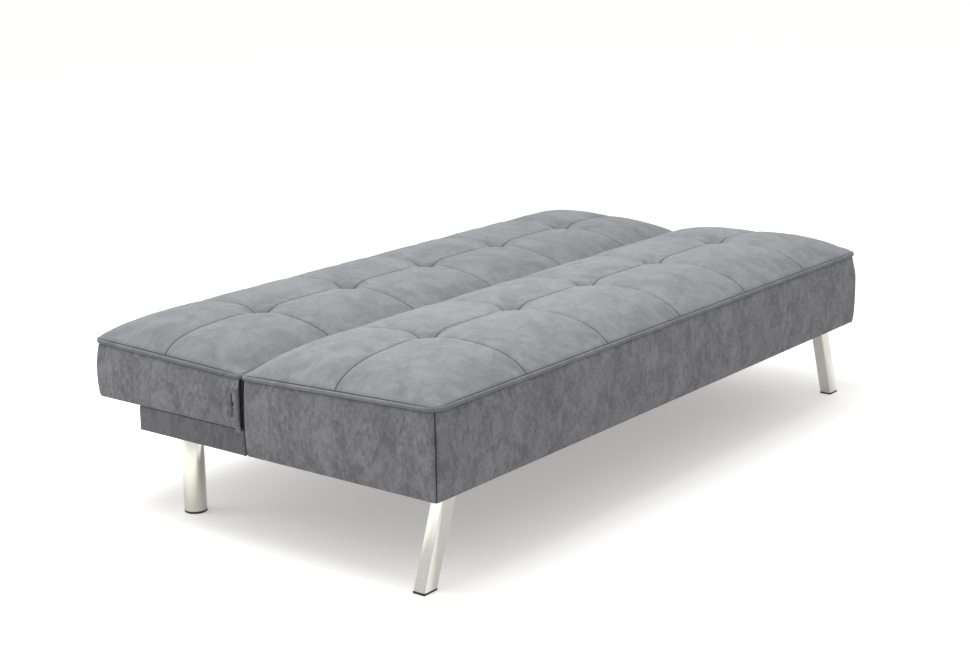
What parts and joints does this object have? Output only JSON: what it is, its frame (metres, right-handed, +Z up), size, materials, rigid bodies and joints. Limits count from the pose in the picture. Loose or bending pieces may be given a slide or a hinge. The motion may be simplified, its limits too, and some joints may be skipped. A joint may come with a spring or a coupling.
{
  "type": "futon sofa bed",
  "caption": "Armless click-clack sofa bed lying open: tufted seat and folding backrest on a low rear base, with leaning front legs and round rear legs.",
  "frame": {"origin": "on the floor, under the middle of the bed's bounding box", "axes": "+X along the length, +Y from the seat towards the backrest so the front faces -Y, +Z up; rest pose is the open flat bed"},
  "size_m": [1.7616, 0.9656, 0.438],
  "materials": {
    "grey_velvet": "matte",
    "grey_velvet_base": "matte",
    "foam": "matte",
    "timber": "matte",
    "board": "matte",
    "black_cloth": "matte",
    "webbing": "matte",
    "spring_steel": "satin",
    "zinc_steel": "satin",
    "satin_steel": "satin",
    "polished_steel": "polished",
    "black_plastic": "satin"
  },
  "bodies": {
    "base": {"seat_cover": "grey_velvet", "seat_foam": "foam", "seat_front_rail": "timber", "seat_rear_rail": "timber", "seat_end_rail_left": "timber", "seat_end_rail_right": "timber", "seat_centre_rail": "timber", "seat_spring_1": "spring_steel", "seat_spring_2": "spring_steel", "seat_spring_3": "spring_steel", "seat_spring_4": "spring_steel", "seat_spring_5": "spring_steel", "seat_spring_6": "spring_steel", "front_leg_block_left": "timber", "front_leg_block_right": "timber", "seat_dust_cloth": "black_cloth", "base_cover": "grey_velvet_base", "base_front_rail": "timber", "base_rear_rail": "timber", "base_end_rail_left": "timber", "base_end_rail_right": "timber", "base_top_panel": "board", "rear_leg_block_left": "timber", "rear_leg_block_right": "timber", "base_dust_cloth": "black_cloth", "base_bolt_left": "zinc_steel", "base_bolt_right": "zinc_steel", "front_leg_left": "satin_steel", "front_leg_right": "satin_steel", "front_foot_cap_left": "black_plastic", "front_foot_cap_right": "black_plastic", "rear_leg_left": "polished_steel", "rear_leg_right": "polished_steel", "rear_leg_plate_left": "zinc_steel", "rear_leg_plate_right": "zinc_steel", "rear_foot_cap_left": "black_plastic", "rear_foot_cap_right": "black_plastic", "hinge_seat_plate_left": "zinc_steel", "hinge_seat_plate_right": "zinc_steel", "hinge_pin_left": "zinc_steel", "hinge_pin_right": "zinc_steel", "pawl_pin_left": "zinc_steel", "pawl_pin_right": "zinc_steel", "pawl_spring_left": "spring_steel", "pawl_spring_right": "spring_steel"},
    "backrest": {"back_cover": "grey_velvet", "back_foam": "foam", "back_hinge_rail": "timber", "back_outer_rail": "timber", "back_end_rail_left": "timber", "back_end_rail_right": "timber", "back_centre_rail": "timber", "back_webbing_1": "webbing", "back_webbing_2": "webbing", "back_webbing_3": "webbing", "back_dust_cloth": "black_cloth", "hinge_back_plate_left": "zinc_steel", "hinge_back_plate_right": "zinc_steel"},
    "pawl_left": {"pawl_left": "zinc_steel"},
    "pawl_right": {"pawl_right": "zinc_steel"}
  },
  "joints": [
    {"name": "backrest_hinge", "type": "hinge", "parent": "base", "child": "backrest", "pos_m": [0, 0.033, 0.361], "axis": [1, 0, 0], "range_deg": [0, 80]},
    {"name": "pawl_left_hinge", "type": "hinge", "parent": "base", "child": "pawl_left", "pos_m": [-0.8414, -0.025, 0.345], "axis": [1, 0, 0], "range_deg": [0, 14]},
    {"name": "pawl_right_hinge", "type": "hinge", "parent": "base", "child": "pawl_right", "pos_m": [0.8414, -0.025, 0.345], "axis": [1, 0, 0], "range_deg": [0, 14]}
  ]
}
